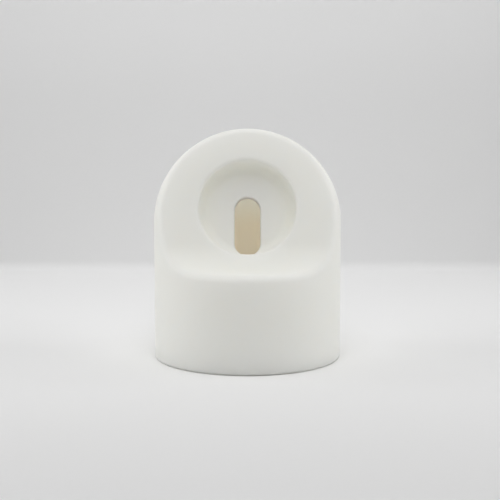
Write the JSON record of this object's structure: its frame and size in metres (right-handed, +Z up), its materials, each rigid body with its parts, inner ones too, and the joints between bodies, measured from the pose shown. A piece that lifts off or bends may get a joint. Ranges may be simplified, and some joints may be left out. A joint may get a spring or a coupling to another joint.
{
  "type": "watch charging dock",
  "caption": "Upright rounded silicone stand with a tilted seat, a round recess for a magnetic charging puck and a slot that leads its cable down and out at the back.",
  "frame": {"origin": "centre of the flat base, on the surface that the dock stands on", "axes": "+Z up, -Y to the front that holds the watch, +X across; the dock is the same on both sides of the YZ plane"},
  "size_m": [0.0552, 0.0552, 0.0674],
  "materials": {
    "silicone": "matte white silicone"
  },
  "bodies": {
    "root": {"dock_body": "silicone"}
  },
  "joints": []
}
